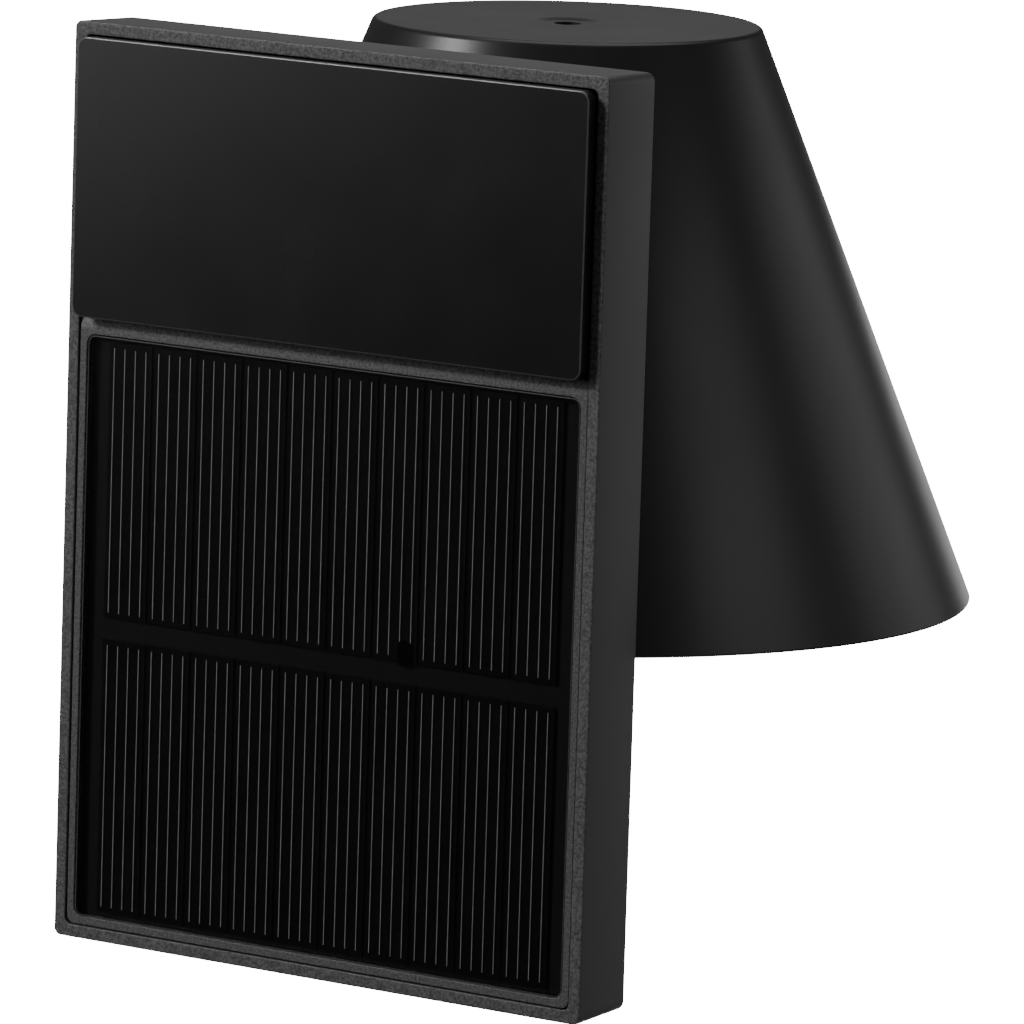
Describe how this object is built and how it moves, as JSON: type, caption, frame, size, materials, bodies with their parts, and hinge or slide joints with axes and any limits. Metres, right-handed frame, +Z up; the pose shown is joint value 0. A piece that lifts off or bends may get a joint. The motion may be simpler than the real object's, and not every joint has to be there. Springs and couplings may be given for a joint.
{
  "type": "solar window lamp",
  "caption": "Flat solar panel housing that sticks to a pane by a glossy pad, with a conical down-light shade fixed to its back.",
  "frame": {"origin": "centre of the pad plate's flat front face, which sticks to the pane", "axes": "-Y out of the pad's face towards the pane, +Z up along the panel, +X across it; the shade hangs on the +Y side"},
  "size_m": [0.1478, 0.1458, 0.16],
  "materials": {
    "housing_black": "black ABS, fine satin sides and a spark-eroded front rim",
    "shade_black": "smooth black ABS, low sheen",
    "pad_gloss": "polished black plate",
    "solar_glass": "clear glossy cover over the cells",
    "silicon": "near-black monocrystalline silicon",
    "solar_backing": "black laminate board",
    "circuit_board": "green solder mask",
    "white_board": "white solder mask on aluminium",
    "white_plastic": "white reflector plastic",
    "opal": "opal diffusing plastic",
    "led_phosphor": "yellow phosphor",
    "black_rubber": "soft black rubber",
    "tape": "foam bonding tape",
    "battery_foil": "pouch foil",
    "steel": "zinc-plated steel",
    "black_screw": "blackened steel",
    "lead_red": "red insulation",
    "lead_black": "black sheath",
    "switch_black": "black moulded plastic",
    "button_black": "smooth black plastic"
  },
  "bodies": {
    "lamp": {"battery_cell": "battery_foil", "battery_lead": "lead_red", "battery_tape": "tape", "board_link": "switch_black", "button_switch": "switch_black", "cable_grommet": "black_rubber", "cell_strip_01": "silicon", "cell_strip_02": "silicon", "cell_strip_03": "silicon", "cell_strip_04": "silicon", "cell_strip_05": "silicon", "cell_strip_06": "silicon", "cell_strip_07": "silicon", "cell_strip_08": "silicon", "cell_strip_09": "silicon", "cell_strip_10": "silicon", "cell_strip_11": "silicon", "cell_strip_12": "silicon", "cell_strip_13": "silicon", "cell_strip_14": "silicon", "cell_strip_15": "silicon", "cell_strip_16": "silicon", "cell_strip_17": "silicon", "cell_strip_18": "silicon", "cell_strip_19": "silicon", "cell_strip_20": "silicon", "diffuser": "opal", "diffuser_ring": "housing_black", "front_bezel": "housing_black", "holder_screw_1": "steel", "holder_screw_2": "steel", "holder_screw_3": "steel", "housing_screw_1": "black_screw", "housing_screw_2": "black_screw", "housing_screw_3": "black_screw", "housing_screw_4": "black_screw", "lamp_holder": "white_plastic", "lamp_lead": "lead_black", "lead_seal": "black_rubber", "led_1": "led_phosphor", "led_2": "led_phosphor", "led_3": "led_phosphor", "led_4": "led_phosphor", "led_board": "white_board", "main_board": "circuit_board", "pad_plate": "pad_gloss", "pad_tape": "tape", "panel_tape": "tape", "rear_housing": "housing_black", "shade": "shade_black", "shade_screw_1": "steel", "shade_screw_2": "steel", "shade_screw_3": "steel", "shade_screw_4": "steel", "solar_board": "solar_backing", "solar_cover": "solar_glass", "solar_lead": "lead_red", "switch_board": "circuit_board"},
    "button": {"power_button": "button_black"}
  },
  "joints": [
    {"name": "button_press", "type": "slide", "parent": "lamp", "child": "button", "axis": [0, 0, -1], "range_m": [0, 0.0008], "stiffness_N_per_m": 800, "springref_m": -0.001}
  ]
}
